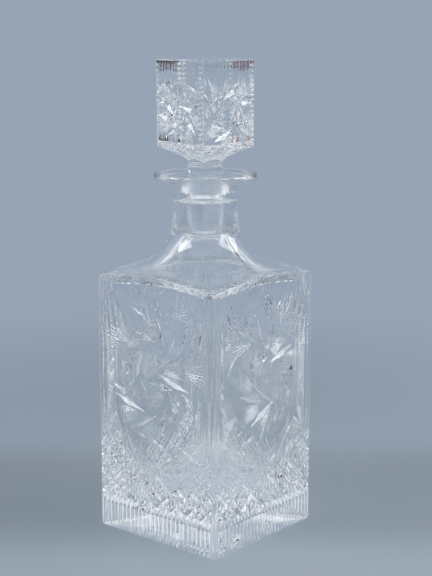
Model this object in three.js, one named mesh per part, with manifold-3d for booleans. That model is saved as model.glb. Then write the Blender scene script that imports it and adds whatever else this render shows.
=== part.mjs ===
// A square cut-crystal decanter with a block stopper, in millimetres, +Z up.
// The origin is the centre of the flat base. The front face looks along -Y.
import * as THREE from "three";
import { mergeVertices } from "three/addons/utils/BufferGeometryUtils.js";
import Module from "manifold-3d";

const wasm = await Module();
wasm.setup();

// Driving dimensions of the blown and cut body.
const BODY_WIDTH = 86;
const BODY_CORNER_RADIUS = 3;
const BASE_THICKNESS = 21;
const WALL_THICKNESS = 7.5;
const CAVITY_CORNER_RADIUS = 5;
const NECK_RADIUS = 18.1;
const NECK_TOP = 187;
const MOUTH_HEIGHT = 202;
const LIP_RADIUS = 28.4;

// Radius just past the corners of the body, where the shoulder's curve and its cutting tools begin.
const PAST_CORNERS = 62;

// The ground taper that the stopper sits in. The peg keeps an even gap to the bore.
const BORE_MOUTH_RADIUS = 9.8;
const BORE_FOOT_RADIUS = 8.1;
const PEG_FOOT = 168;
const PEG_GAP = 0.35;

// Driving dimensions of the stopper.
const STOPPER_WIDTH = 38;
const STOPPER_CORNER_RADIUS = 0.8;
const STOPPER_FOOT = 216.6;
const STOPPER_TOP = 263.6;
const STEM_RADIUS = 9.4;
const STOPPER_TURN = THREE.MathUtils.degToRad(-6.5);

// How far a tool or a blank runs past the face that it ends at.
const OVERSHOOT = 5;

// How finely round shapes are divided.
const ROUND_STEPS = 40;
const CORNER_STEPS = 4;
const LEAF_STEPS = 4;

const glass = new THREE.MeshStandardMaterial({
  name: "crystal",
  color: 0xeef3f5,
  roughness: 0.03,
  metalness: 0,
  transparent: true,
  opacity: 0.4,
});

// A closed three.js geometry as a solid that can be joined and cut.
function toSolid(geometry) {
  const bare = geometry.clone();
  bare.deleteAttribute("normal");
  bare.deleteAttribute("uv");
  const merged = mergeVertices(bare, 1e-4);
  return new wasm.Manifold(
    new wasm.Mesh({
      numProp: 3,
      vertProperties: new Float32Array(merged.attributes.position.array),
      triVerts: new Uint32Array(merged.index.array),
    }),
  );
}

// A finished solid as a geometry with flat-shaded faces.
function toGeometry(solid) {
  const mesh = solid.getMesh();
  const indexed = new THREE.BufferGeometry();
  const points = new Float32Array(mesh.vertProperties);
  indexed.setAttribute("position", new THREE.BufferAttribute(points, mesh.numProp));
  indexed.setIndex([...mesh.triVerts]);
  const geometry = indexed.toNonIndexed();
  geometry.computeVertexNormals();
  return geometry;
}

// An upright prism on a square with rounded corners, from one height to another.
function squarePrism(width, cornerRadius, low, high) {
  const flat = width / 2 - cornerRadius;
  const outline = new THREE.Shape();
  const corners = [[1, -1], [1, 1], [-1, 1], [-1, -1]];
  corners.forEach(([sx, sy], quarter) => {
    const from = (quarter - 1) * (Math.PI / 2);
    outline.absarc(sx * flat, sy * flat, cornerRadius, from, from + Math.PI / 2);
  });
  outline.closePath();
  const prism = new THREE.ExtrudeGeometry(outline, {
    depth: high - low,
    curveSegments: CORNER_STEPS,
    bevelEnabled: false,
  });
  return toSolid(prism.translate(0, 0, low));
}

// A solid turned round the Z axis. The profile is a list of [radius, height] from the axis back to the axis.
function turned(profile) {
  const points = profile.map(([radius, height]) => new THREE.Vector2(radius, height));
  const lathe = new THREE.LatheGeometry(points, ROUND_STEPS);
  return toSolid(lathe.rotateX(Math.PI / 2));
}

// Points along a smooth curve through the given [radius, height] points.
function smooth(through, steps) {
  const curve = new THREE.SplineCurve(through.map(([r, z]) => new THREE.Vector2(r, z)));
  return curve.getPoints(steps).map((p) => [p.x, p.y]);
}

// Shoulder, neck and lip outside, from the corner of the body up to the mouth.
const outerCurve = [
  ...smooth([[PAST_CORNERS, 145.6], [53.5, 147], [43, 149.2], [34, 152.6], [28.4, 156], [24, 160.3],
    [20.6, 166.2], [NECK_RADIUS + 0.6, 173.5], [NECK_RADIUS, 181], [NECK_RADIUS, NECK_TOP]], 13),
  ...smooth([[20, 189.3], [23, 191.5], [25.2, 193.6], [26.9, 196.4], [28, 199], [LIP_RADIUS, 200.6]], 5),
  [LIP_RADIUS - 0.9, MOUTH_HEIGHT],
];

// The cavity's ceiling and the bore, from the cavity's widest height up past the mouth.
const innerCurve = [
  ...smooth([[52, 138.6], [45, 140.4], [36, 143.4], [29.5, 146.6], [23.5, 150.6], [18, 155.4], [13.5, 160.6],
    [10.2, 165.2], [BORE_FOOT_RADIUS, PEG_FOOT]], 9),
  [BORE_MOUTH_RADIUS, MOUTH_HEIGHT],
  [BORE_MOUTH_RADIUS, MOUTH_HEIGHT + OVERSHOOT],
];

// The cavity's floor is a bowl that turns up at the walls and highest in the corners.
const floorCurve = smooth([[0, BASE_THICKNESS], [10, 21.8], [20, 24.8], [28, 29.6], [33, 34.6], [37, 40.6],
  [41, 49.5], [46.5, 67], [51, 84]], 9);

const APOTHEM = BODY_WIDTH / 2;

// A cut of V section made by a grinding wheel, in the plane of a face: x runs along the cut, y across it
// and z out of the glass. Each station is [place along the cut, depth], and a depth of minus the
// clearance above the glass brings the cut to a point.
const ABOVE = 0.6;
function grooveGeometry(stations, slope) {
  const points = [];
  const faces = [];
  const rows = stations.map(([x, depth]) => {
    const first = points.length / 3;
    if (depth <= -ABOVE + 1e-6) {
      points.push(x, 0, ABOVE);
      return [first, first, first];
    }
    const half = (depth + ABOVE) * slope;
    points.push(x, -half, ABOVE, x, half, ABOVE, x, 0, -depth);
    return [first, first + 1, first + 2];
  });
  const addFace = (a, b, c) => {
    if (a !== b && b !== c && c !== a) faces.push(a, b, c);
  };
  const start = rows[0];
  const end = rows[rows.length - 1];
  addFace(start[0], start[1], start[2]);
  addFace(end[1], end[0], end[2]);
  for (let i = 0; i + 1 < rows.length; i += 1) {
    const here = rows[i];
    const next = rows[i + 1];
    for (let side = 0; side < 3; side += 1) {
      const other = (side + 1) % 3;
      addFace(here[side], next[side], next[other]);
      addFace(here[side], next[other], here[other]);
    }
  }
  const geometry = new THREE.BufferGeometry();
  geometry.setAttribute("position", new THREE.BufferAttribute(new Float32Array(points), 3));
  geometry.setIndex(faces);
  return geometry;
}

// The leaf that a wheel leaves when it is lowered into a flat face: its depth falls off as a parabola.
function leafGeometry(length, width, depth, steps) {
  const reach = (length / 2) * Math.sqrt((depth + ABOVE) / depth);
  const stations = [];
  for (let i = 0; i <= steps; i += 1) {
    const x = -reach + (2 * reach * i) / steps;
    const edge = i === 0 || i === steps;
    stations.push([x, edge ? -ABOVE : depth - (depth + ABOVE) * (x / reach) ** 2]);
  }
  return grooveGeometry(stations, width / 2 / depth);
}

// A groove of even depth that runs out at one or both ends.
function runGeometry(from, to, width, depth, runOut) {
  const fade = (runOut * ABOVE) / depth;
  const stations = [[from - fade, -ABOVE], [from + runOut, depth], [to - runOut, depth], [to + fade, -ABOVE]];
  return grooveGeometry(stations, width / 2 / depth);
}

// Puts a cut on the front face of a block: centred at (x, height), turned by an angle, and facing out.
function onFace(geometry, apothem, x, height, angle) {
  const placed = geometry.clone();
  placed.rotateZ(angle);
  placed.rotateX(Math.PI / 2);
  placed.translate(x, -apothem, height);
  return placed;
}

// The cuts of each of the four sides of a block, as one solid to take away. The pattern is a function of
// the side's number: 0 faces -Y, 1 +X, 2 +Y and 3 -X.
function allSides(pattern) {
  const solids = [];
  for (let side = 0; side < 4; side += 1) {
    for (const cut of pattern(side)) {
      solids.push(toSolid(cut.rotateZ((side * Math.PI) / 2)));
    }
  }
  return wasm.Manifold.union(solids);
}

// The whirling star of each side is cut by hand: its centre across and up the side, the angle of its first
// leaf in degrees, how far from the centre its leaves pass, and how far their angles wander.
const BODY_STARS = [
  { across: -2.2, height: 85.3, phase: 27.3, offset: 12.6, wander: 0 },
  { across: 4.5, height: 89.5, phase: 23.4, offset: 11, wander: 5.2 },
  { across: 1, height: 87, phase: 26, offset: 12, wander: 2 },
  { across: -1, height: 88, phase: 25, offset: 12, wander: -2 },
];
const STOPPER_STARS = [
  { across: -0.5, height: 235.5, phase: 36.5, offset: 4.1, wander: 0 },
  { across: -0.5, height: 235.5, phase: 30, offset: 8.4, wander: -4 },
  { across: 0, height: 236, phase: 33, offset: 6.5, wander: 0 },
  { across: 0, height: 236, phase: 33, offset: 6.5, wander: 0 },
];
const STAR_LEAVES = 8;
const BODY_LEAF = { inner: 1, outer: 25, width: 4.4, depth: 1.5 };
const STOPPER_LEAF = { inner: 0, outer: 16.5, width: 5.2, depth: 1.25 };

// The leaves pass the centre of their star at a distance, all leaning the same way.
function whirlingStar(apothem, star, leaf) {
  const cuts = [];
  const middle = (leaf.inner + leaf.outer) / 2;
  for (let i = 0; i < STAR_LEAVES; i += 1) {
    const turn = (i * 2 * Math.PI) / STAR_LEAVES;
    const angle = THREE.MathUtils.degToRad(star.phase - star.wander * Math.cos(turn)) + turn;
    const x = star.across + middle * Math.cos(angle) - star.offset * Math.sin(angle);
    const z = star.height + middle * Math.sin(angle) + star.offset * Math.cos(angle);
    const cut = leafGeometry(leaf.outer - leaf.inner, leaf.width, leaf.depth, LEAF_STEPS);
    cuts.push(onFace(cut, apothem, x, z, angle));
  }
  return cuts;
}

// Long upright leaves beside each corner.
const CORNER_LEAF = { length: 92, width: 2.8, depth: 1, height: 94 };
const CORNER_LEAF_PLACES = [-39.6, -36, 36, 39.6];
function cornerLeaves() {
  const { length, width, depth, height } = CORNER_LEAF;
  const leaf = leafGeometry(length, width, depth, LEAF_STEPS + 2);
  return CORNER_LEAF_PLACES.map((x) => onFace(leaf, APOTHEM, x, height, Math.PI / 2));
}

// The comb of short flutes that stands round the foot. A flute runs out below the foot and at its top.
const COMB_TOP = 17;
const COMB_COUNT = 26;
const COMB_DEPTH = 0.8;
const COMB_RUN_OUT = 2;
function footComb() {
  const pitch = (BODY_WIDTH - 2 * BODY_CORNER_RADIUS) / COMB_COUNT;
  const flute = runGeometry(-OVERSHOOT, COMB_TOP, pitch, COMB_DEPTH, COMB_RUN_OUT);
  const cuts = [];
  for (let i = 0; i < COMB_COUNT; i += 1) {
    cuts.push(onFace(flute, APOTHEM, (i + 0.5 - COMB_COUNT / 2) * pitch, 0, Math.PI / 2));
  }
  return cuts;
}

// Crossed grooves that leave diamonds between the comb and an arc under the star: deep ones, and
// shallower ones halfway between them.
const DIAMOND_PITCH = BODY_WIDTH / 4;
const DIAMOND_GROOVES = [
  { shift: 0, width: 4.2, depth: 1 },
  { shift: DIAMOND_PITCH / 2, width: 2.6, depth: 0.55 },
];
const DIAMOND_FOOT = 19;
const DIAMOND_ARC_RADIUS = 58;
const DIAMOND_ARC_LOW = 42;
const DIAMOND_EDGE = APOTHEM - 1.5;
const DIAMOND_STEP = 0.5;
const SHORTEST_GROOVE = 5;

// Whether the point that is climb above the diamonds' foot, and as far along from start, is still outside
// the arc and short of the corner.
function inDiamonds(start, climb) {
  const arcCentre = DIAMOND_ARC_LOW + DIAMOND_ARC_RADIUS;
  const x = start + climb;
  return x < DIAMOND_EDGE && Math.hypot(x, DIAMOND_FOOT + climb - arcCentre) > DIAMOND_ARC_RADIUS;
}

function diamondCuts() {
  const cuts = [];
  for (const { shift, width, depth } of DIAMOND_GROOVES) {
    for (let start = shift - 4 * DIAMOND_PITCH; start < DIAMOND_EDGE; start += DIAMOND_PITCH) {
      // The groove climbs at 45 degrees from the foot, or from the corner, until it leaves the diamonds.
      const from = Math.max(0, -DIAMOND_EDGE - start);
      let to = from;
      while (inDiamonds(start, to + DIAMOND_STEP)) to += DIAMOND_STEP;
      if (to - from < SHORTEST_GROOVE) continue;
      const middle = (from + to) / 2;
      const half = ((to - from) / 2) * Math.SQRT2;
      const groove = runGeometry(-half, half, width, depth, 1.5 * depth);
      const height = DIAMOND_FOOT + middle;
      cuts.push(onFace(groove, APOTHEM, start + middle, height, Math.PI / 4));
      cuts.push(onFace(groove, APOTHEM, -start - middle, height, (3 * Math.PI) / 4));
    }
  }
  return cuts;
}

function decanterBody() {
  const block = squarePrism(BODY_WIDTH, BODY_CORNER_RADIUS, 0, MOUTH_HEIGHT + OVERSHOOT);
  const blank = block.intersect(turned([[0, 0], [PAST_CORNERS, 0], ...outerCurve, [0, MOUTH_HEIGHT]]));
  const cavityWidth = BODY_WIDTH - 2 * WALL_THICKNESS;
  const cavityBlock = squarePrism(cavityWidth, CAVITY_CORNER_RADIUS, 0, MOUTH_HEIGHT + 2 * OVERSHOOT);
  const cavity = cavityBlock.intersect(turned([...floorCurve, ...innerCurve, [0, MOUTH_HEIGHT + OVERSHOOT]]));
  const cuts = allSides((side) => [
    ...whirlingStar(APOTHEM, BODY_STARS[side], BODY_LEAF),
    ...cornerLeaves(),
    ...footComb(),
    ...diamondCuts(),
  ]);
  return blank.subtract(cavity).subtract(cuts);
}

// The block of the stopper, whose four sides are ground in under the block to meet the round stem.
const STOPPER_TAPER = [[15.4, 214.3], [12.2, 212.9], [9.2, 211.3], [7.4, 209.7], [6.4, 207.6]];
function stopperBlock() {
  const half = STOPPER_WIDTH / 2;
  const side = [[half, STOPPER_TOP], [half, STOPPER_FOOT], ...STOPPER_TAPER];
  const outline = new THREE.Shape([
    ...side.map(([x, z]) => new THREE.Vector2(x, z)),
    ...side.reverse().map(([x, z]) => new THREE.Vector2(-x, z)),
  ]);
  const depth = STOPPER_WIDTH + 2 * OVERSHOOT;
  const slab = new THREE.ExtrudeGeometry(outline, { depth, bevelEnabled: false });
  slab.translate(0, 0, -depth / 2).rotateX(Math.PI / 2);
  const crossSlab = slab.clone().rotateZ(Math.PI / 2);
  const block = squarePrism(STOPPER_WIDTH, STOPPER_CORNER_RADIUS, MOUTH_HEIGHT, STOPPER_TOP);
  return block.intersect(toSolid(slab)).intersect(toSolid(crossSlab));
}

const PEG_CHAMFER = 0.8;
function stopperBody() {
  const peg = turned([
    [0, PEG_FOOT],
    [BORE_FOOT_RADIUS - PEG_GAP - PEG_CHAMFER, PEG_FOOT],
    [BORE_FOOT_RADIUS - PEG_GAP, PEG_FOOT + PEG_CHAMFER],
    [BORE_MOUTH_RADIUS - PEG_GAP, MOUTH_HEIGHT],
    [STEM_RADIUS, MOUTH_HEIGHT + 2],
    [STEM_RADIUS, STOPPER_FOOT - 5],
    [0, STOPPER_FOOT],
  ]);
  const cuts = allSides((side) => whirlingStar(STOPPER_WIDTH / 2, STOPPER_STARS[side], STOPPER_LEAF));
  return stopperBlock().add(peg).subtract(cuts);
}

function piece(name, solid) {
  const mesh = new THREE.Mesh(toGeometry(solid), glass);
  mesh.name = name;
  return mesh;
}

const decanter = new THREE.Group();
decanter.name = "cut_crystal_decanter";
decanter.add(piece("decanter_body", decanterBody()));

const stopper = piece("stopper", stopperBody());
stopper.rotation.z = STOPPER_TURN;
decanter.add(stopper);

export default decanter;
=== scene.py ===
"""A square cut-crystal decanter with a block stopper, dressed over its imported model, in metres."""
import math

import bpy
import numpy as np
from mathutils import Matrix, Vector


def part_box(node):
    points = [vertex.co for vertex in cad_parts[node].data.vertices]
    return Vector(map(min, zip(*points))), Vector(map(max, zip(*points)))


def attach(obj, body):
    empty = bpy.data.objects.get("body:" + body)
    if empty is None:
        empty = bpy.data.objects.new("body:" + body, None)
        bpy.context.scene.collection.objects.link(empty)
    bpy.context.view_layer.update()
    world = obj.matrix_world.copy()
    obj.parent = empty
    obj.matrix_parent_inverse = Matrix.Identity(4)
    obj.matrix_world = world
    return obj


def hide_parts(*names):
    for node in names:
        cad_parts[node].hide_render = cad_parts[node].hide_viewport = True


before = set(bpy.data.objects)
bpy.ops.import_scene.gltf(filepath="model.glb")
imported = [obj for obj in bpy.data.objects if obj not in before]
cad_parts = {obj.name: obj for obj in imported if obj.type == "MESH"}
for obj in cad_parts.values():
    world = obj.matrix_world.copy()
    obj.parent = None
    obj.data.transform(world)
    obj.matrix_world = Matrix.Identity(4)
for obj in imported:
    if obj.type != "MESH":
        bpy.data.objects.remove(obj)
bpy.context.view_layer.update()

MM = 0.001

# Sizes of the body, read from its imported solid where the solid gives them.
BODY_LOW, BODY_HIGH = (np.array(corner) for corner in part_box("decanter_body"))
BODY_HALF = float(BODY_HIGH[0] - BODY_LOW[0]) / 2
BODY_CORNER = 3 * MM
FOOT_ROUND = 1.4 * MM
NECK_START = 24 * MM
BORE_MOUTH = 9.8 * MM
BORE_TOP = 199 * MM
BORE_FOOT = 8.1 * MM
BORE_FOOT_HEIGHT = 168 * MM
WALL = 7.5 * MM
CAVITY_HALF = BODY_HALF - WALL
CAVITY_CORNER = 5 * MM
CAVITY_REACH = 56 * MM
CAVITY_BLEND = 3 * MM

# How much smaller the radius of the body's corners is at the foot, as a share of the foot's inset.
FOOT_CORNER_SHARE = 0.6

# How far the curve of the shoulder's edge reaches to each side of it, in millimetres, and how much further
# at the corners.
EDGE_EASE = 0.6
CORNER_EASE = 1.2

# Sizes of the stopper.
STOPPER_LOW, STOPPER_HIGH = (np.array(corner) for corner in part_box("stopper"))
STOPPER_TOP = float(STOPPER_HIGH[2])
PEG_FOOT = float(STOPPER_LOW[2])
PEG_GAP = 0.35 * MM
PEG_TOP = 201.4 * MM
STEM_RADIUS = 9.4 * MM
STEM_HEIGHTS = np.array([202.6, 204.2, 205.8]) * MM
BEAD_RADIUS = 0.6 * MM
BEAD_HEIGHT = 206.5 * MM
TAPER_BLEND = 1.2 * MM
STOPPER_HALF = 19 * MM
STOPPER_CORNER = 0.8 * MM
STOPPER_FOOT = 216.6 * MM
STOPPER_EDGE = 0.5 * MM
STOPPER_TURN = math.radians(-6.5)

# Heights between which each piece is ground, how softly that ends and how far from the axis.
BODY_GROUND = (168 * MM, 201.6 * MM)
STOPPER_GROUND = (169 * MM, 201.0 * MM)
GROUND_FADE = 0.6 * MM
GROUND_REACH = (10.3 * MM, 11 * MM)

# Columns of every ring: steps along each flat side and round each corner.
FLAT_STEPS = 26
CORNER_STEPS = 10

# How far a cutter stands out of the glass.
ABOVE = 0.5 * MM

# A blade's knee: half its length as a share of the blade's, and how far its middle falls short of the full
# depth as a share of how far its first end does.
KNEE = 0.06
KNEE_SAG = 0.35

# Faces that meet at more than this angle keep their edge. A face is on a flat side if it lies no further in
# than the offset and the cosine of its angle to that side is above the limit.
SHARP_ANGLE = math.radians(18)
FLAT_OFFSET = 0.001 * MM
FLAT_FACING = 0.99999


# Curves and rings.

def smooth(points, steps):
    """Points along the uniform Catmull-Rom curve through the given points."""
    p = np.asarray(points, float)
    u = np.linspace(0, len(p) - 1, steps + 1)
    i = np.minimum(u.astype(int), len(p) - 2)
    t = (u - i)[:, None]
    before = p[np.maximum(i - 1, 0)]
    here, after = p[i], p[i + 1]
    beyond = p[np.minimum(i + 2, len(p) - 1)]
    m0, m1 = (after - before) / 2, (beyond - here) / 2
    bend = 2 * here - 2 * after + m0 + m1
    rise = -3 * here + 3 * after - 2 * m0 - m1
    return ((bend * t + rise) * t + m0) * t + here


def rounded_square(half, corner):
    """Outline of a square with round corners, anticlockwise from the foot of its +X side.

    Each side is a straight run followed by a quarter circle about a centre set in by the corner's radius.
    """
    run = np.linspace(-1, 1, FLAT_STEPS, endpoint=False) * (half - corner)
    turn = np.linspace(0, math.pi / 2, CORNER_STEPS, endpoint=False)
    straight = np.stack([np.full_like(run, half), run], 1)
    arc = (half - corner) + corner * np.stack([np.cos(turn), np.sin(turn)], 1)
    side = np.concatenate([straight, arc])
    quarter = np.array([[0, -1], [1, 0]])
    sides = [side]
    for _ in range(3):
        sides.append(sides[-1] @ quarter.T)
    return np.concatenate(sides)


def ring(outline, height):
    """A ring of points over an outline, at one height or at a height for each column."""
    return np.column_stack([outline, np.broadcast_to(height, len(outline))])


def closed_grid(name, rows):
    """A closed mesh over rows of points, the first and last of which are drawn to a single point."""
    rows = np.asarray(rows)
    count, columns = rows.shape[:2]
    points = np.concatenate([rows[:1, 0], rows[1:-1].reshape(-1, 3), rows[-1:, 0]])
    inner = 1 + np.arange((count - 2) * columns).reshape(count - 2, columns)
    here, beside = inner, np.roll(inner, -1, axis=1)
    quads = np.stack([here[:-1], beside[:-1], beside[1:], here[1:]], -1).reshape(-1, 4)
    last = len(points) - 1
    first_fan = np.stack([np.zeros(columns, int), beside[0], here[0]], 1)
    last_fan = np.stack([np.full(columns, last), here[-1], beside[-1]], 1)
    mesh = bpy.data.meshes.new(name)
    mesh.from_pydata(points.tolist(), [], first_fan.tolist() + quads.tolist() + last_fan.tolist())
    mesh.update()
    piece = bpy.data.objects.new(name, mesh)
    bpy.context.scene.collection.objects.link(piece)
    return piece


# Grooves ground by a wheel.

def grooves(along, depth, half_width, places, apothem):
    """Cutters of V section for one side of a block, as an array of points for each cut.

    along and depth give the stations of the cut, whose first and last are points that stand ABOVE the
    glass. The half width at a station is its depth and ABOVE together, times the slope half_width gives
    at the deepest station. A place is the cut's centre across and up the side, and its angle there.
    """
    slope = half_width / depth.max()
    rise = (depth[1:-1] + ABOVE) * slope
    zero = np.zeros_like(rise)
    section = np.stack([
        np.stack([along[1:-1], -rise, zero + ABOVE], 1),
        np.stack([along[1:-1], rise, zero + ABOVE], 1),
        np.stack([along[1:-1], zero, -depth[1:-1]], 1),
    ], 1).reshape(-1, 3)
    ends = np.array([[along[0], 0, ABOVE], [along[-1], 0, ABOVE]])
    local = np.concatenate([ends[:1], section, ends[1:]])
    across, up, angle = np.asarray(places, float).T
    cos, sin = np.cos(angle)[:, None], np.sin(angle)[:, None]
    x = across[:, None] + cos * local[:, 0] - sin * local[:, 1]
    z = up[:, None] + sin * local[:, 0] + cos * local[:, 1]
    y = np.broadcast_to(-apothem - local[:, 2], x.shape)
    return np.stack([x, y, z], -1)


def groove_faces(stations):
    """Faces of one groove cutter: a fan at each end and three strips between."""
    rows = stations - 2
    last = 3 * rows + 1
    faces = [(0, 1, 2), (0, 2, 3), (0, 3, 1)]
    for row in range(rows - 1):
        a = 1 + 3 * row
        for side in range(3):
            other = (side + 1) % 3
            faces.append((a + side, a + side + 3, a + other + 3, a + other))
    a = 1 + 3 * (rows - 1)
    faces += [(last, a + 1, a), (last, a + 2, a + 1), (last, a, a + 2)]
    return faces


def leaf(length, width, depth, places, apothem, steps=4):
    """Leaf-shaped cuts, whose depth is a parabola along them."""
    reach = length / 2 * math.sqrt((depth + ABOVE) / depth)
    t = np.linspace(-1, 1, steps + 1)
    fall = depth - (depth + ABOVE) * t * t
    fall[0] = fall[-1] = -ABOVE
    return grooves(reach * t, fall, width / 2, places, apothem)


def blade(length, width, depth, deepest, places, apothem):
    """Long cuts with flat facets: the depth rises in a straight line to its deepest place and falls again.

    deepest is that place's share of the length. The two straight lines meet in a short rounded knee.
    """
    lead = length * ABOVE / depth
    along = np.array([-deepest * lead, (deepest - KNEE) * length, deepest * length,
                      (deepest + KNEE) * length, length + (1 - deepest) * lead])
    fall = np.array([-ABOVE, depth * (1 - KNEE / deepest), depth * (1 - KNEE_SAG * KNEE / deepest),
                     depth * (1 - KNEE / (1 - deepest)), -ABOVE])
    return grooves(along - length / 2, fall, width / 2, places, apothem)


def run(start, end, width, depth, fade, places, apothem):
    """Grooves of even depth that fade out over a length at each end."""
    lead = fade * ABOVE / depth
    along = np.array([start - lead, start + fade, end - fade, end + lead])
    fall = np.array([-ABOVE, depth, depth, -ABOVE])
    return grooves(along, fall, width / 2, places, apothem)


def fan_places(apex, angles, near, far):
    """Centres and angles of lines that spread from an apex, between two distances from it."""
    angles = np.asarray(angles)
    middle = (near + far) / 2
    return np.column_stack([apex[0] + middle * np.cos(angles), apex[1] + middle * np.sin(angles), angles])


def even_row(width, count):
    """Centres of an even row across a side, and its pitch."""
    pitch = width / count
    return (np.arange(count) + 0.5 - count / 2) * pitch, pitch


def places_of(across, up, angle):
    """Places from a row of numbers and two that are the same all along it, in any order."""
    return np.column_stack(np.broadcast_arrays(across, up, angle))


# Leaves of a star, the angle from one to the next, and the deepest place of a leaf as a share of its length.
STAR_LEAVES = 8
STAR_STEP = 2 * math.pi / STAR_LEAVES
LEAF_DEEPEST = 0.55

# The star of each side is cut by hand: its centre across and up the side, the angle of its first leaf, how
# far from the centre the leaves pass and how far their angles wander. The sides are -Y, +X, +Y and -X.
BODY_STARS = [
    (-2.2 * MM, 85.3 * MM, math.radians(27.3), 12.6 * MM, 0),
    (4.5 * MM, 89.5 * MM, math.radians(23.4), 11.0 * MM, math.radians(5.2)),
    (1 * MM, 87 * MM, math.radians(26), 12 * MM, math.radians(2)),
    (-1 * MM, 88 * MM, math.radians(25), 12 * MM, math.radians(-2)),
]
STOPPER_STARS = [
    (-0.5 * MM, 235.5 * MM, math.radians(36.5), 4.1 * MM, 0),
    (-0.5 * MM, 235.5 * MM, math.radians(30), 8.4 * MM, math.radians(-4)),
    (0, 236 * MM, math.radians(33), 6.5 * MM, 0),
    (0, 236 * MM, math.radians(33), 6.5 * MM, 0),
]


def star_angles(star):
    """The angles of a star's leaves: even steps, with a wander that is a cosine round the star."""
    _, _, phase, _, wander = star
    turn = np.arange(STAR_LEAVES) * STAR_STEP
    return phase + turn - wander * np.cos(turn)


def whirling_star(side, star, inner, outer, width, depth):
    """The leaves of the star, which pass its centre at the offset and all lean the same way."""
    across, up, _, offset, _ = star
    angle = star_angles(star)
    middle = (inner + outer) / 2
    places = np.column_stack([across + middle * np.cos(angle) - offset * np.sin(angle),
                              up + middle * np.sin(angle) + offset * np.cos(angle), angle])
    return blade(outer - inner, width, depth, LEAF_DEEPEST, places, side)


def star_fans(side, star, near, far, count, clear, width, depth):
    """Fine lines in the wedge between each leaf and the next, from where their lines cross.

    clear is the share of the wedge that stays free beside each leaf.
    """
    across, up, _, offset, _ = star
    families = []
    corner = offset / math.cos(STAR_STEP / 2)
    for angle in star_angles(star):
        towards = angle + math.pi / 2 - STAR_STEP / 2
        apex = (across + corner * math.cos(towards), up + corner * math.sin(towards))
        spread = angle - np.linspace(clear, 1 - clear, count) * STAR_STEP
        families.append(leaf(far - near, width, depth, fan_places(apex, spread, near, far), side))
    return families


def hatched_disc(side, centre, radius, pitch, width, depth):
    """Fine lines crossed at 45 degrees over a disc, each as long as its chord and none very short."""
    families = []
    least_half = 0.2 * radius
    rows = int(radius / pitch)
    for k in range(-rows, rows + 1):
        away = k * pitch
        chord = 2 * math.sqrt(max(radius * radius - away * away, least_half ** 2))
        for angle in (math.pi / 4, 3 * math.pi / 4):
            across = centre[0] - away * math.sin(angle)
            up = centre[1] + away * math.cos(angle)
            families.append(leaf(chord, width, depth, [(across, up, angle)], side))
    return families


# Width and depth of each kind of cut on the body.
LEAF_CUT = (4.4 * MM, 1.5 * MM)
FINE_CUT = (0.8 * MM, 0.28 * MM)
FAINT_CUT = (0.8 * MM, 0.2 * MM)
SHORT_CUT = (2 * MM, 0.7 * MM)
UPRIGHT_CUT = (2.6 * MM, 0.9 * MM)
SPRIG_CUT = (2.2 * MM, 0.95 * MM)

# How far from the star's centre its leaves and its fans reach, and the fans' lines and clear share.
STAR_REACH = (1 * MM, 25 * MM)
STAR_FAN_REACH = (11 * MM, 25 * MM)
STAR_FAN_LINES = 10
STAR_FAN_CLEAR = 0.24

# The hatched disc in the middle of the star.
DISC_RADIUS = 9.5 * MM
DISC_PITCH = 1.4 * MM

# Fans of fine lines round the star: apex from the star's centre, first and last angle, near and far, count.
FANS = [
    ((4 * MM, 27 * MM), math.radians(48), math.radians(122), 4 * MM, 27 * MM, 13),
    ((-14 * MM, 25 * MM), math.radians(118), math.radians(200), 3 * MM, 22 * MM, 13),
    ((21 * MM, 16 * MM), math.radians(-24), math.radians(54), 3 * MM, 19 * MM, 12),
    ((-6 * MM, -28 * MM), math.radians(228), math.radians(300), 4 * MM, 22 * MM, 11),
    ((14 * MM, -24 * MM), math.radians(272), math.radians(335), 4 * MM, 22 * MM, 10),
    ((-26 * MM, -12 * MM), math.radians(196), math.radians(262), 3 * MM, 18 * MM, 10),
]

# Short blades round the star: the centre of each across and up the side, and its angle.
SHORT_LENGTH = 11 * MM
SHORT_DEEPEST = 0.6
SHORT_BLADES = [
    (4.5 * MM, 133 * MM, math.radians(-64)),
    (12.5 * MM, 133 * MM, math.radians(48)),
    (-11.2 * MM, 129.3 * MM, math.radians(-22)),
    (28 * MM, 122 * MM, math.radians(62)),
    (-28 * MM, 122 * MM, math.radians(118)),
    (-22 * MM, 48 * MM, math.radians(86)),
    (-2 * MM, 62 * MM, math.radians(58)),
    (8 * MM, 46 * MM, math.radians(35)),
    (22 * MM, 60 * MM, math.radians(48)),
    (28 * MM, 48 * MM, math.radians(128)),
]

# Upright leaves beside the corners: the centre of each across and up the side.
UPRIGHT_LENGTH = 92 * MM
UPRIGHT_STEPS = 12
UPRIGHTS = [(-39.8 * MM, 96 * MM), (-36.6 * MM, 92 * MM), (36.6 * MM, 92 * MM), (39.8 * MM, 96 * MM)]

# Blades that lean away from the upright leaves at the top of each corner: across, up and tilt.
SPRIG_LENGTH = 32 * MM
SPRIG_DEEPEST = 0.5
CORNER_SPRIG = [(33.4 * MM, 120 * MM, 0.10), (29.6 * MM, 123 * MM, 0.22), (25.2 * MM, 127 * MM, 0.36)]

# The comb of flutes round the foot.
COMB_COUNT = 26
COMB_LOW = -6 * MM
COMB_HIGH = 17 * MM
COMB_DEPTH = 0.8 * MM
COMB_FADE = 2 * MM

# Three sets of diamonds. The pitch and shift are parts of a large diamond, of which a side has four, and
# the width and depth are those of the cut.
DIAMONDS_ACROSS = 4
DIAMONDS = [
    (1, 0, 4.2 * MM, 1 * MM),
    (1, 1 / 2, 2.6 * MM, 0.55 * MM),
    (1 / 2, 1 / 4, 1.2 * MM, 0.24 * MM),
]

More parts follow.
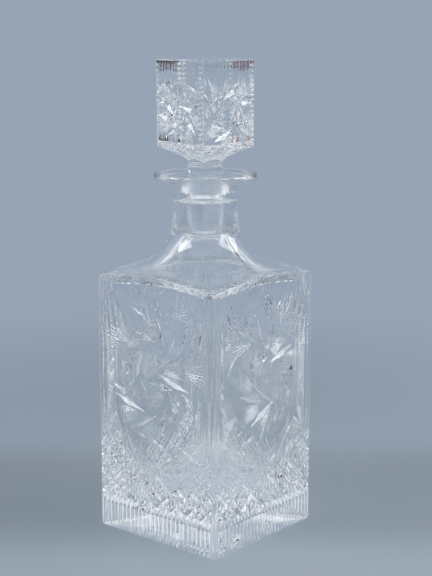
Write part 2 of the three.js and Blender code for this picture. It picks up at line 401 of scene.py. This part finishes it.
# The field of the diamonds: its foot, its inset from the side's edges, the arc below the star that ends it,
# and how far up from the foot and in what steps the arc is looked for.
FIELD_FOOT = 19 * MM
FIELD_INSET = 1.5 * MM
FIELD_REACH = 60 * MM
FIELD_STEP = 0.5 * MM
ARC_RADIUS = 58 * MM
ARC_LOW = 42 * MM

# The shortest groove that is cut there, and the length over which one fades out, in depths.
SHORTEST_GROOVE = 5 * MM
GROOVE_FADE = 1.5


def diamond_cuts(side, pitch, shift, width, depth):
    """Crossed grooves at 45 degrees over the field of the diamonds.

    Each starts at the field's foot or at one edge of the side, and ends at the arc or at the other edge.
    """
    edge = side - FIELD_INSET
    cuts = []
    for start in np.arange(shift - 2 * side, edge, pitch):
        low = max(0.0, -edge - start)
        t = np.arange(low, FIELD_REACH, FIELD_STEP)
        across = start + t
        from_arc = np.hypot(across, FIELD_FOOT + t - ARC_LOW - ARC_RADIUS)
        stop = t[np.argmin((across < edge) & (from_arc > ARC_RADIUS))]
        if stop - low < SHORTEST_GROOVE:
            continue
        middle = (low + stop) / 2
        half = (stop - low) / 2 * math.sqrt(2)
        x, z = start + middle, FIELD_FOOT + middle
        places = [(x, z, math.pi / 4), (-x, z, 3 * math.pi / 4)]
        cuts.append(run(-half, half, width, depth, GROOVE_FADE * depth, places, side))
    return cuts


def body_cuts(quarter):
    """The cut pattern of one side of the body, as a list of cutter arrays."""
    side = BODY_HALF
    star = BODY_STARS[quarter]
    across, up = star[:2]
    cuts = [whirling_star(side, star, *STAR_REACH, *LEAF_CUT)]
    cuts += star_fans(side, star, *STAR_FAN_REACH, STAR_FAN_LINES, STAR_FAN_CLEAR, *FINE_CUT)
    cuts += hatched_disc(side, (across, up), DISC_RADIUS, DISC_PITCH, *FAINT_CUT)
    for apex, first, last, near, far, count in FANS:
        places = fan_places((across + apex[0], up + apex[1]), np.linspace(first, last, count), near, far)
        cuts.append(leaf(far - near, *FINE_CUT, places, side))
    cuts.append(blade(SHORT_LENGTH, *SHORT_CUT, SHORT_DEEPEST, SHORT_BLADES, side))
    uprights = [(x, z, math.pi / 2) for x, z in UPRIGHTS]
    cuts.append(leaf(UPRIGHT_LENGTH, *UPRIGHT_CUT, uprights, side, UPRIGHT_STEPS))
    for lean in (-1, 1):
        sprig = [(lean * x, z, math.pi / 2 - lean * tilt) for x, z, tilt in CORNER_SPRIG]
        cuts.append(blade(SPRIG_LENGTH, *SPRIG_CUT, SPRIG_DEEPEST, sprig, side))
    flutes, pitch = even_row(2 * (side - BODY_CORNER), COMB_COUNT)
    comb = places_of(flutes, 0, math.pi / 2)
    cuts.append(run(COMB_LOW, COMB_HIGH, pitch, COMB_DEPTH, COMB_FADE, comb, side))
    diamond = 2 * side / DIAMONDS_ACROSS
    for part, shift, width, depth in DIAMONDS:
        cuts += diamond_cuts(side, diamond * part, diamond * shift, width, depth)
    return cuts


# Width and depth of each kind of cut on the stopper.
STOPPER_LEAF_CUT = (5.2 * MM, 1.25 * MM)
STOPPER_FINE_CUT = (0.8 * MM, 0.34 * MM)
TOP_CUT = (0.7 * MM, 0.12 * MM)
FRINGE_CUT = (2.2 * MM, 0.8 * MM)

# How far from the star's centre its leaves and its fans reach, and the fans' lines and clear share.
STOPPER_STAR_REACH = (0, 16.5 * MM)
STOPPER_FAN_REACH = (7 * MM, 18.5 * MM)
STOPPER_FAN_LINES = 8
STOPPER_FAN_CLEAR = 0.26

# The row of short lines that hang from the top edge.
TOP_COUNT = 14
TOP_INSET = 1 * MM
TOP_HEIGHT = 258 * MM
TOP_LENGTH = 9 * MM
TOP_DEEPEST = 0.35

# The ladder of short cuts beside one edge of each side.
FRINGE_INSET = 1.8 * MM
FRINGE_LENGTH = 5 * MM
FRINGE_HEIGHTS = np.arange(220, 262, 2.7) * MM


def stopper_cuts(quarter):
    """The cut pattern of one side of the stopper."""
    side = STOPPER_HALF
    star = STOPPER_STARS[quarter]
    cuts = [whirling_star(side, star, *STOPPER_STAR_REACH, *STOPPER_LEAF_CUT)]
    cuts += star_fans(side, star, *STOPPER_FAN_REACH, STOPPER_FAN_LINES, STOPPER_FAN_CLEAR, *STOPPER_FINE_CUT)
    lines, _ = even_row(2 * (side - TOP_INSET), TOP_COUNT)
    cuts.append(blade(TOP_LENGTH, *TOP_CUT, TOP_DEEPEST, places_of(lines, TOP_HEIGHT, -math.pi / 2), side))
    ladder = places_of(side - FRINGE_INSET, FRINGE_HEIGHTS, 0)
    cuts.append(leaf(FRINGE_LENGTH, *FRINGE_CUT, ladder, side))
    return cuts


def carve(blank, pattern):
    """Takes the cuts of a pattern away from each side of a blank and keeps the result as its mesh."""
    group = bpy.data.collections.new(blank.name + "_cutters")
    made = []
    for quarter, (c, s) in enumerate([(1, 0), (0, 1), (-1, 0), (0, -1)]):
        turn = np.array([[c, s, 0], [-s, c, 0], [0, 0, 1]])
        for family in pattern(quarter):
            faces = groove_faces((family.shape[1] - 2) // 3 + 2)
            for points in family @ turn:
                mesh = bpy.data.meshes.new("cutter")
                mesh.from_pydata(points.tolist(), [], faces)
                cutter = bpy.data.objects.new("cutter", mesh)
                group.objects.link(cutter)
                made.append(cutter)
    boolean = blank.modifiers.new("wheel_cuts", "BOOLEAN")
    boolean.operation = "DIFFERENCE"
    boolean.operand_type = "COLLECTION"
    boolean.collection = group
    boolean.solver = "MANIFOLD"
    bpy.context.view_layer.update()
    carved = bpy.data.meshes.new_from_object(blank.evaluated_get(bpy.context.evaluated_depsgraph_get()))
    blank.modifiers.clear()
    plain = blank.data
    blank.data = carved
    carved.name = blank.name
    bpy.data.meshes.remove(plain)
    for cutter in made:
        mesh = cutter.data
        bpy.data.objects.remove(cutter)
        bpy.data.meshes.remove(mesh)
    bpy.data.collections.remove(group)


def polish(piece, half):
    """Smooth shading, with an edge kept wherever two faces meet at more than the sharp angle.

    The edges round the flat sides are kept as well, so that a side stays flat up to each shallow cut in it.
    """
    mesh = piece.data
    mesh.shade_smooth()
    mesh.set_sharp_from_angle(angle=SHARP_ANGLE)
    faces, edges, loops = len(mesh.polygons), len(mesh.edges), len(mesh.loops)
    centre, normal = np.empty(faces * 3), np.empty(faces * 3)
    mesh.polygons.foreach_get("center", centre)
    mesh.polygons.foreach_get("normal", normal)
    out = np.abs(centre.reshape(-1, 3)[:, :2]).max(axis=1)
    facing = np.abs(normal.reshape(-1, 3)[:, :2]).max(axis=1)
    flat = (out > half - FLAT_OFFSET) & (facing > FLAT_FACING)
    sizes, edge_of = np.empty(faces, int), np.empty(loops, int)
    mesh.polygons.foreach_get("loop_total", sizes)
    mesh.loops.foreach_get("edge_index", edge_of)
    flat_sides = np.bincount(edge_of, weights=np.repeat(flat, sizes), minlength=edges)
    sharp = np.empty(edges, bool)
    mesh.edges.foreach_get("use_edge_sharp", sharp)
    mesh.edges.foreach_set("use_edge_sharp", sharp | (flat_sides == 1))


def turn_mesh(piece, angle):
    """Turns the mesh of a piece about the Z axis."""
    cos, sin = math.cos(angle), math.sin(angle)
    turn = np.array([[cos, -sin, 0], [sin, cos, 0], [0, 0, 1]])
    points = np.empty(len(piece.data.vertices) * 3)
    piece.data.vertices.foreach_get("co", points)
    piece.data.vertices.foreach_set("co", (points.reshape(-1, 3) @ turn.T).ravel())
    piece.data.update()


# Profiles: the radius and height of each point in millimetres, and for the stopper's taper its half width
# and height. A smooth one ends with the number of steps along it.

SHOULDER = smooth(np.array([
    [62, 145.6], [53.5, 147], [43, 149.2], [34, 152.6], [28.4, 156], [24, 160.3], [20.6, 166.2],
    [18.7, 173.5], [18.1, 181], [18.1, 187]]) * MM, 180)
LIP = smooth(np.array([
    [18.1, 187], [20, 189.3], [23, 191.5], [25.2, 193.6], [26.9, 196.4], [28, 199], [28.4, 200.6]]) * MM, 18)
MOUTH = np.array([
    [28.35, 201.2], [28.0, 201.8], [27.3, 202.0], [19, 202.0], [10.9, 202.0], [10.2, 201.7],
    [9.8, 201.0]]) * MM
DOME = smooth(np.array([
    [52, 141.4], [45, 142.6], [36, 144.8], [29.5, 147.4], [23.5, 151], [18, 155.6], [13.5, 160.6],
    [10.2, 165.2], [8.1, 168]]) * MM, 72)
FLOOR = smooth(np.array([
    [0, 21], [10, 21.8], [20, 24.8], [28, 29.6], [33, 34.6], [37, 40.6], [41, 49.5], [46.5, 67],
    [51, 84]]) * MM, 72)
TAPER = smooth(np.array([
    [6.0, 207.2], [7.4, 209.4], [9.2, 211.2], [12.2, 212.9], [15.4, 214.4], [18.2, 216.0]]) * MM, 18)


def soft_min(a, b, blend):
    """The smaller of two lengths, rounded off where they are within the blend of each other."""
    near = np.clip(0.5 + 0.5 * (b - a) / blend, 0, 1)
    return b + (a - b) * near - blend * near * (1 - near)


def shoulder_at(radius):
    """Height of the shoulder at a radius."""
    return np.interp(-radius, -SHOULDER[:, 0], SHOULDER[:, 1])


def cavity_rings(profile):
    """Rings of the hollow: its rounded square, drawn in to the radius of each point of a profile."""
    outline = rounded_square(CAVITY_HALF, CAVITY_CORNER)
    reach = np.hypot(*outline.T)
    direction = outline / reach[:, None]
    return [ring(direction * soft_min(reach, r, CAVITY_BLEND)[:, None], z) for r, z in profile]


def make_body():
    """The blown vessel, as rings from the middle of its foot round to the middle of its floor.

    Outside are the foot, walls, shoulder, neck and lip, and inside the bore, dome, walls and floor. The
    shoulder's edge is a quadratic curve from the wall to the shoulder, whose middle point is their meeting.
    """
    wall = rounded_square(BODY_HALF, BODY_CORNER)
    reach = np.hypot(*wall.T)
    direction = wall / reach[:, None]
    rows = [ring(wall * 0, 0), ring(wall * 0.5, 0)]
    for a in np.radians([0, 22.5, 45, 67.5, 90]):
        inset = FOOT_ROUND * (1 - math.sin(a))
        outline = rounded_square(BODY_HALF - inset, BODY_CORNER - inset * FOOT_CORNER_SHARE)
        rows.append(ring(outline, FOOT_ROUND * (1 - math.cos(a))))
    cornerness = np.clip((reach - BODY_HALF) / (reach.max() - BODY_HALF), 0, 1) ** 2
    ease = (EDGE_EASE + CORNER_EASE * cornerness) * MM
    edge = shoulder_at(reach)
    inner = reach - ease
    for t in np.linspace(0, 1, 7):
        r = reach * (1 - t * t) + inner * t * t
        z = (1 - t) ** 2 * (edge - ease) + 2 * t * (1 - t) * edge + t * t * shoulder_at(inner)
        rows.append(ring(direction * r[:, None], z))
    for t in np.linspace(0, 1, 13)[1:]:
        r = inner + (NECK_START - inner) * t
        rows.append(ring(direction * r[:, None], shoulder_at(r)))
    neck = SHOULDER[SHOULDER[:, 0] < NECK_START - 1e-6][::5]
    bore = np.linspace([BORE_MOUTH, BORE_TOP], [BORE_FOOT, BORE_FOOT_HEIGHT], 8)
    for r, z in np.concatenate([neck, LIP, MOUTH, bore]):
        rows.append(ring(direction * r, z))
    walls = [(CAVITY_REACH, z) for z in np.linspace(134, 90, 6) * MM]
    rows += cavity_rings([*DOME[::-1][3::3], *walls, *FLOOR[::-1][::3][:-1]])
    rows.append(ring(wall * 0, FLOOR[0, 1]))
    return closed_grid("cut_decanter", rows)


def make_stopper():
    """The stopper: peg and stem, the ground taper under the block, and the block."""
    block = rounded_square(STOPPER_HALF, STOPPER_CORNER)
    reach = np.hypot(*block.T)
    direction = block / reach[:, None]
    rows = [ring(block * 0, PEG_FOOT)]
    foot = BORE_FOOT - PEG_GAP
    peg = np.array([
        [foot - 1.6 * MM, PEG_FOOT], [foot - 0.9 * MM, PEG_FOOT + 0.15 * MM],
        [foot - 0.3 * MM, PEG_FOOT + 0.6 * MM], [foot, PEG_FOOT + 1.4 * MM]])
    ground = np.linspace(peg[-1], [BORE_MOUTH - PEG_GAP, PEG_TOP], 9)[1:]
    stem = [(STEM_RADIUS, z) for z in STEM_HEIGHTS]
    angles = np.radians([0, 30, 60, 90, 120, 150])
    bead = np.column_stack([STEM_RADIUS + BEAD_RADIUS * np.sin(angles),
                            BEAD_HEIGHT - BEAD_RADIUS * np.cos(angles)])
    for r, z in np.concatenate([peg, ground, stem, bead]):
        rows.append(ring(direction * r, z))
    for half, z in TAPER:
        square = reach * half / STOPPER_HALF
        r = -soft_min(-square, -np.full_like(square, STEM_RADIUS), TAPER_BLEND)
        rows.append(ring(direction * r[:, None], z))
    outline = [
        (STOPPER_HALF - 0.25 * MM, STOPPER_FOOT - 0.1 * MM),
        (STOPPER_HALF, STOPPER_FOOT + 0.4 * MM),
        (STOPPER_HALF, STOPPER_TOP - STOPPER_EDGE),
        (STOPPER_HALF - STOPPER_EDGE, STOPPER_TOP),
    ]
    for half, z in outline:
        rows.append(ring(block * half / STOPPER_HALF, z))
    rows.append(ring(block * 0.5, STOPPER_TOP))
    rows.append(ring(block * 0, STOPPER_TOP))
    return closed_grid("cut_stopper", rows)


# Materials.

class Value:
    """A shader value that Python's operators act on, each adding one Math node."""

    def __init__(self, tree, out):
        self.tree = tree
        self.out = out

    def maths(self, operation, *others):
        sockets = dict(enumerate((self, *others)))
        return node(self.tree, "ShaderNodeMath", {"operation": operation}, sockets)

    def __add__(self, other):
        return self.maths("ADD", other)

    __radd__ = __add__

    def __mul__(self, other):
        return self.maths("MULTIPLY", other)

    __rmul__ = __mul__

    def __sub__(self, other):
        return self.maths("SUBTRACT", other)

    def __rsub__(self, other):
        return (self * -1) + other

    def ramp(self, low, high):
        """0 below low, 1 above high and smooth between."""
        return node(self.tree, "ShaderNodeMapRange", {"interpolation_type": "SMOOTHSTEP"},
                    {"Value": self, "From Min": low, "From Max": high}, "Result")

    def band(self, start, end):
        """1 between two spans, and 0 below the first and above the second."""
        return self.ramp(*start) * (1 - self.ramp(*end))


def connect(tree, value, slot):
    """Puts a value into a socket, as a link where it comes from a node."""
    if isinstance(value, Value):
        tree.links.new(value.out, slot)
    else:
        slot.default_value = value


def node(tree, kind, settings=None, sockets=None, output=0):
    """Any node: its settings first, then the values or links of its sockets, and the output that is used."""
    made = tree.nodes.new(kind)
    for name, value in (settings or {}).items():
        setattr(made, name, value)
    for name, value in (sockets or {}).items():
        connect(tree, value, made.inputs[name])
    return Value(tree, made.outputs[output])


def blend_colours(tree, factor, first, second):
    """One colour or the other, or a mix of them. Each is a Value or a red, green and blue."""
    first, second = (c if isinstance(c, Value) else (*c, 1) for c in (first, second))
    sockets = {"Factor": factor, "A": first, "B": second}
    return node(tree, "ShaderNodeMix", {"data_type": "RGBA"}, sockets, "Result")


def noise(tree, place, scale, detail):
    """Soft noise between 0 and 1 over a place or a direction."""
    return node(tree, "ShaderNodeTexNoise", sockets={"Vector": place, "Scale": scale, "Detail": detail})


def coordinates(tree, output="Object"):
    """A place, or a direction in the world, and its x, y and z."""
    place = node(tree, "ShaderNodeTexCoord", output=output)
    split = node(tree, "ShaderNodeSeparateXYZ", sockets={0: place}).out.node
    return place, [Value(tree, out) for out in split.outputs]


def new_material(name):
    material = bpy.data.materials.new(name)
    material.use_nodes = True
    tree = material.node_tree
    return material, tree, tree.nodes["Principled BSDF"]


def finish_surface(tree, shader, factor, other):
    """Sends the shader to the material's surface, mixed with another by a factor."""
    principled = Value(tree, shader.outputs[0])
    mix = node(tree, "ShaderNodeMixShader", sockets={0: factor, 1: principled, 2: other})
    connect(tree, mix, tree.nodes["Material Output"].inputs["Surface"])


# The glass: how it bends light, its two tints, its roughness where polished and ground, and its bump.
GLASS_INDEX = 1.55
GLASS_TINTS = ((0.985, 0.992, 0.995), (0.975, 0.986, 0.992))
SHADOW_TINT = (0.82, 0.85, 0.88)
POLISHED = 0.004
GROUND = 0.05
GROUND_GRAIN = 0.08
BUMP_STRENGTH = 0.12
BUMP_DEPTH = 0.4 * MM

# Scale and detail of the noise in the glass: the grain of the ground band, the cloud of its tint and its
# waves. Then how high the grain stands against the waves.
GRAIN = (900.0, 3.0)
CLOUD = (18.0, 2.0)
WAVES = (60.0, 2.0)
GRAIN_HEIGHT = 2


def crystal(name, ground_low, ground_high):
    """Clear lead crystal, faintly wavy from the fire polish, with a ground band between two heights."""
    material, tree, shader = new_material(name)
    shader.inputs["Transmission Weight"].default_value = 1
    shader.inputs["IOR"].default_value = GLASS_INDEX
    place, (x, y, z) = coordinates(tree)
    radius = (x * x + y * y).maths("SQRT")
    band = z.band((ground_low - GROUND_FADE, ground_low), (ground_high, ground_high + GROUND_FADE))
    ground = band * (1 - radius.ramp(*GROUND_REACH))
    grain = noise(tree, place, *GRAIN)
    connect(tree, ground * (GROUND + grain * GROUND_GRAIN) + POLISHED, shader.inputs["Roughness"])
    tint = blend_colours(tree, noise(tree, place, *CLOUD), *GLASS_TINTS)
    connect(tree, tint, shader.inputs["Base Color"])
    height = noise(tree, place, *WAVES) + ground * grain * GRAIN_HEIGHT
    bump = node(tree, "ShaderNodeBump",
                sockets={"Strength": BUMP_STRENGTH, "Distance": BUMP_DEPTH, "Height": height})
    connect(tree, bump, shader.inputs["Normal"])
    through = node(tree, "ShaderNodeBsdfTransparent", sockets={"Color": (*SHADOW_TINT, 1)})
    in_shadow = node(tree, "ShaderNodeLightPath", output="Is Shadow Ray")
    finish_surface(tree, shader, in_shadow, through)
    return material


def dress(piece, material):
    """Gives a piece one material in place of those it has."""
    piece.data.materials.clear()
    piece.data.materials.append(material)


# The stage.

BACKDROP = (0.309, 0.371, 0.462)
FLOOR_NEAR = (0.334, 0.390, 0.438)
# Painted shade: the darker band of floor behind the decanter.
FLOOR_SHADE = (0.256, 0.299, 0.336)
FLOOR_BEHIND = (0.304, 0.360, 0.424)
SKY_BRIGHT = (0.90, 0.94, 0.99)
SKY_DIM = (0.48, 0.53, 0.60)
AMBIENT = (0.36, 0.38, 0.41)
SIDE_WALL = (0.80, 0.84, 0.89)
PALE_FLOOR = (0.56, 0.60, 0.65)
# Painted light: a paler floor under the glass, which only the glass sees.
PAINTED_LIGHT_UNDER_GLASS = (0.43, 0.465, 0.50)
DARK_CARD = (0.045, 0.036, 0.032)
ROSE_CARD = (0.36, 0.25, 0.27)

# Directions on the floor, away from the camera and to its right.
VIEW_AWAY = (-0.647, 0.762)
VIEW_RIGHT = (0.762, 0.647)

# The floor's half width, how far it lies below the foot so that the two don't share a plane, and its paper.
FLOOR_HALF = 12.0
FLOOR_DROP = 0.2 * MM
PAPER_ROUGHNESS = 0.8
PAPER_SPECULAR = 0.2

# Spans on the floor, in metres from the decanter, over which one tone turns into the next. Those of the
# painted shade are measured behind it, those of the painted light under the glass and of the far floor all
# round it.
SHADE_FRONT = (-0.065, 0.005)
SHADE_BACK = (0.085, 0.165)
PAINTED_LIGHT_END = (0.055, 0.13)
FAR_FLOOR = (0.2, 0.62)

# The pale floor beside: where it starts, how fast that widens behind, over what it blends, and its far end.
BESIDE_START = 0.18
BESIDE_SPREAD = 0.8
BESIDE_BLEND = 0.12
BESIDE_END = (0.45, 0.75)

# The rug in front on the left: its right and back ends, and its left and front ends.
FRONT_RUG_RIGHT = (-0.12, -0.06)
FRONT_RUG_BACK = (-0.34, -0.26)
FRONT_RUG_LEFT = (-1.6, -1.4)
FRONT_RUG_FRONT = (-1.8, -1.6)

# The rugs at the sides: their inner and outer ends, half their depth, and where rose turns into dark.
SIDE_RUG_INNER = (1.9, 2.0)
SIDE_RUG_OUTER = (2.4, 2.5)
SIDE_RUG_DEPTH = (0.2, 0.3)
RUG_COLOURS = (-0.1, 0.1)

# The air: spans of a direction's height, of how far it points away, and of how far it points sideways.
HORIZON = (0.12, 0.65)
AHEAD = (0.62, 0.85)
CORNER_AWAY = (0.08, 0.16)
CORNER_TOP = (0.17, 0.27)
WALL_SIDE = (0.6, 0.85)
WALL_FOOT = (0.10, 0.20)
WALL_TOP = (0.35, 0.5)
GAP_HEIGHT = (0.50, 0.58)

# The noise of the pale panels and of the dark gaps: its scale and detail, and the span that parts it.
PANELS = (5.0, 1.0)
PANEL_SPAN = (0.40, 0.60)
GAPS = (11.0, 0.0)
GAP_SPAN = (0.36, 0.39)

# The cards: how far out they stand, their foot, top and roughness, then the side of the view, the span away
# from the camera and the colour of each.
CARD_REACH = 1.5
CARD_LOW = 0.181
CARD_HIGH = 0.30
CARD_ROUGHNESS = 0.9
CARDS = [
    (1, -0.40, 0.40, DARK_CARD),
    (-1, -0.40, -0.26, DARK_CARD),
    (-1, -0.26, 0.26, ROSE_CARD),
    (-1, 0.26, 0.40, DARK_CARD),
]

# The camera: its place, the way it looks, and its lens and sensor in millimetres.
CAMERA_PLACE = (0.50935, -0.59092, 0.29659)
CAMERA_LOOK = (-0.63408, 0.74689, -0.20022)
CAMERA_LENS = 89.0
CAMERA_SENSOR = 36

# The lamps: name, place, size and power in watts. Both point at the same place on the axis.
LAMP_TARGET = (0, 0, 0.09)
LAMPS = [
    ("softbox_left", (-0.470, -0.838, 0.841), (0.8, 0.34), 5.8),
    ("softbox_right", (0.908, 0.518, 0.718), (1.2, 0.55), 10.5),
]


def make_floor():
    """A wide plain floor of grey-blue paper.

    Behind the decanter a band of painted shade crosses the paper. The glass alone sees what lies round the
    paper: a paler floor beside it, painted light under the glass where the glass gathers light, a dark rug
    far off on each side and a dark one in front on the left.
    """
    mesh = bpy.data.meshes.new("studio_floor")
    corners = [(x * FLOOR_HALF, y * FLOOR_HALF, -FLOOR_DROP) for x, y in ((-1, -1), (1, -1), (1, 1), (-1, 1))]
    mesh.from_pydata(corners, [], [(0, 1, 2, 3)])
    floor = bpy.data.objects.new("studio_floor", mesh)
    bpy.context.scene.collection.objects.link(floor)
    material, tree, shader = new_material("floor_paper")
    shader.inputs["Roughness"].default_value = PAPER_ROUGHNESS
    shader.inputs["Specular IOR Level"].default_value = PAPER_SPECULAR
    _, (x, y, _) = coordinates(tree)
    behind = x * VIEW_AWAY[0] + y * VIEW_AWAY[1]
    across = x * VIEW_RIGHT[0] + y * VIEW_RIGHT[1]
    sideways = across.maths("ABSOLUTE")
    away = (x * x + y * y).maths("SQRT")
    in_glass = 1 - node(tree, "ShaderNodeLightPath", output="Is Camera Ray")
    beside = (sideways - behind * BESIDE_SPREAD - BESIDE_START).ramp(0, BESIDE_BLEND) * in_glass
    front_rug = in_glass * (1 - across.ramp(*FRONT_RUG_RIGHT)) * (1 - behind.ramp(*FRONT_RUG_BACK))
    # Painted shade: a darker band across the floor behind the decanter, which the camera sees as well as the
    # glass.
    near = blend_colours(tree, behind.ramp(*SHADE_FRONT), FLOOR_NEAR, FLOOR_SHADE)
    near = blend_colours(tree, behind.ramp(*SHADE_BACK), near, FLOOR_BEHIND)
    # Painted light: a paler patch under the glass, seen only through the glass, for the light it gathers
    # there.
    near = blend_colours(tree, in_glass * (1 - away.ramp(*PAINTED_LIGHT_END)), near, PAINTED_LIGHT_UNDER_GLASS)
    near = blend_colours(tree, beside, near, PALE_FLOOR)
    connect(tree, blend_colours(tree, front_rug, near, DARK_CARD), shader.inputs["Base Color"])
    side_rug = sideways.band(SIDE_RUG_INNER, SIDE_RUG_OUTER)
    side_rug = side_rug * (1 - behind.maths("ABSOLUTE").ramp(*SIDE_RUG_DEPTH))
    rug_colour = blend_colours(tree, across.ramp(*RUG_COLOURS), ROSE_CARD, DARK_CARD)
    front_rug = front_rug * across.ramp(*FRONT_RUG_LEFT) * behind.ramp(*FRONT_RUG_FRONT)
    far = blend_colours(tree, beside * (1 - sideways.ramp(*BESIDE_END)), BACKDROP, PALE_FLOOR)
    far = blend_colours(tree, in_glass * side_rug, far, rug_colour)
    far = blend_colours(tree, front_rug, far, DARK_CARD)
    emission = node(tree, "ShaderNodeEmission", sockets={"Color": far})
    finish_surface(tree, shader, away.ramp(*FAR_FLOOR), emission)
    mesh.materials.append(material)


def make_world():
    """Studio air, which is the plain backdrop to the camera and an even ambient grey to the floor.

    The glass sees the backdrop's colour at the horizon, pale panels at the sides and overhead, and a few
    dark gaps high up.
    """
    world = bpy.data.worlds.new("studio")
    bpy.context.scene.world = world
    world.use_nodes = True
    tree = world.node_tree
    place, (x, y, height) = coordinates(tree, "Generated")
    away = x * VIEW_AWAY[0] + y * VIEW_AWAY[1]
    sideways = (x * VIEW_RIGHT[0] + y * VIEW_RIGHT[1]).maths("ABSOLUTE")
    panels = noise(tree, place, *PANELS).ramp(*PANEL_SPAN)
    sky = blend_colours(tree, panels, SKY_DIM, SKY_BRIGHT)
    air = blend_colours(tree, height.ramp(*HORIZON) + (1 - away.ramp(*AHEAD)), BACKDROP, sky)
    corner = away.ramp(*CORNER_AWAY) * (1 - height.ramp(*CORNER_TOP))
    air = blend_colours(tree, corner, air, BACKDROP)
    wall = sideways.ramp(*WALL_SIDE) * height.band(WALL_FOOT, WALL_TOP)
    air = blend_colours(tree, wall, air, SIDE_WALL)
    path = node(tree, "ShaderNodeLightPath").out.node
    camera, glossy, through = (Value(tree, path.outputs[f"Is {kind} Ray"])
                               for kind in ("Camera", "Glossy", "Transmission"))
    gaps = height.ramp(*GAP_HEIGHT) * (1 - noise(tree, place, *GAPS).ramp(*GAP_SPAN))
    air = blend_colours(tree, through * gaps, air, DARK_CARD)
    air = blend_colours(tree, glossy.maths("MAXIMUM", through), AMBIENT, air)
    connect(tree, blend_colours(tree, camera, air, BACKDROP), tree.nodes["Background"].inputs["Color"])


def make_cards():
    """Cards low at each side, which only the glass sees, for the dark and dull red accents in its facets."""
    right, away = np.array([*VIEW_RIGHT, 0]), np.array([*VIEW_AWAY, 0])
    for number, (side, near, far, colour) in enumerate(CARDS):
        mesh = bpy.data.meshes.new(f"card_{number}")
        corners = [(near, CARD_LOW), (far, CARD_LOW), (far, CARD_HIGH), (near, CARD_HIGH)]
        points = [tuple(right * side * CARD_REACH + away * at + np.array([0, 0, up])) for at, up in corners]
        mesh.from_pydata(points, [], [(0, 1, 2, 3)])
        card = bpy.data.objects.new(f"card_{number}", mesh)
        bpy.context.scene.collection.objects.link(card)
        material, _, shader = new_material(f"card_cloth_{number}")
        shader.inputs["Base Color"].default_value = (*colour, 1)
        shader.inputs["Roughness"].default_value = CARD_ROUGHNESS
        mesh.materials.append(material)
        card.visible_camera = False
        card.visible_shadow = False


def make_camera():
    """The photograph's view, solved from the corners of the body and the stopper."""
    camera = bpy.data.cameras.new("photo_view")
    camera.sensor_width = CAMERA_SENSOR
    camera.lens = CAMERA_LENS
    holder = bpy.data.objects.new("photo_view", camera)
    holder.location = CAMERA_PLACE
    holder.rotation_euler = Vector(CAMERA_LOOK).to_track_quat("-Z", "Y").to_euler()
    bpy.context.scene.collection.objects.link(holder)
    bpy.context.scene.camera = holder


def make_lamps():
    """Two soft boxes, which the glass reflects but doesn't show through itself."""
    for name, place, size, power in LAMPS:
        lamp = bpy.data.lights.new(name, "AREA")
        lamp.shape = "RECTANGLE"
        lamp.size, lamp.size_y = size
        lamp.energy = power
        holder = bpy.data.objects.new(name, lamp)
        holder.location = place
        holder.rotation_euler = (Vector(LAMP_TARGET) - Vector(place)).to_track_quat("-Z", "Y").to_euler()
        holder.visible_transmission = False
        bpy.context.scene.collection.objects.link(holder)


make_camera()
body = make_body()
carve(body, body_cuts)
stopper = make_stopper()
carve(stopper, stopper_cuts)
polish(body, BODY_HALF)
polish(stopper, STOPPER_HALF)
turn_mesh(stopper, STOPPER_TURN)
dress(body, crystal("body_crystal", *BODY_GROUND))
dress(stopper, crystal("stopper_crystal", *STOPPER_GROUND))

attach(body, "decanter")
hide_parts("decanter_body")
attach(stopper, "stopper")
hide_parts("stopper")

make_floor()
make_cards()
make_world()
make_lamps()

scene = bpy.context.scene
scene.view_settings.view_transform = "Standard"
scene.cycles.max_bounces = 32
scene.cycles.transmission_bounces = 32
scene.cycles.glossy_bounces = 16
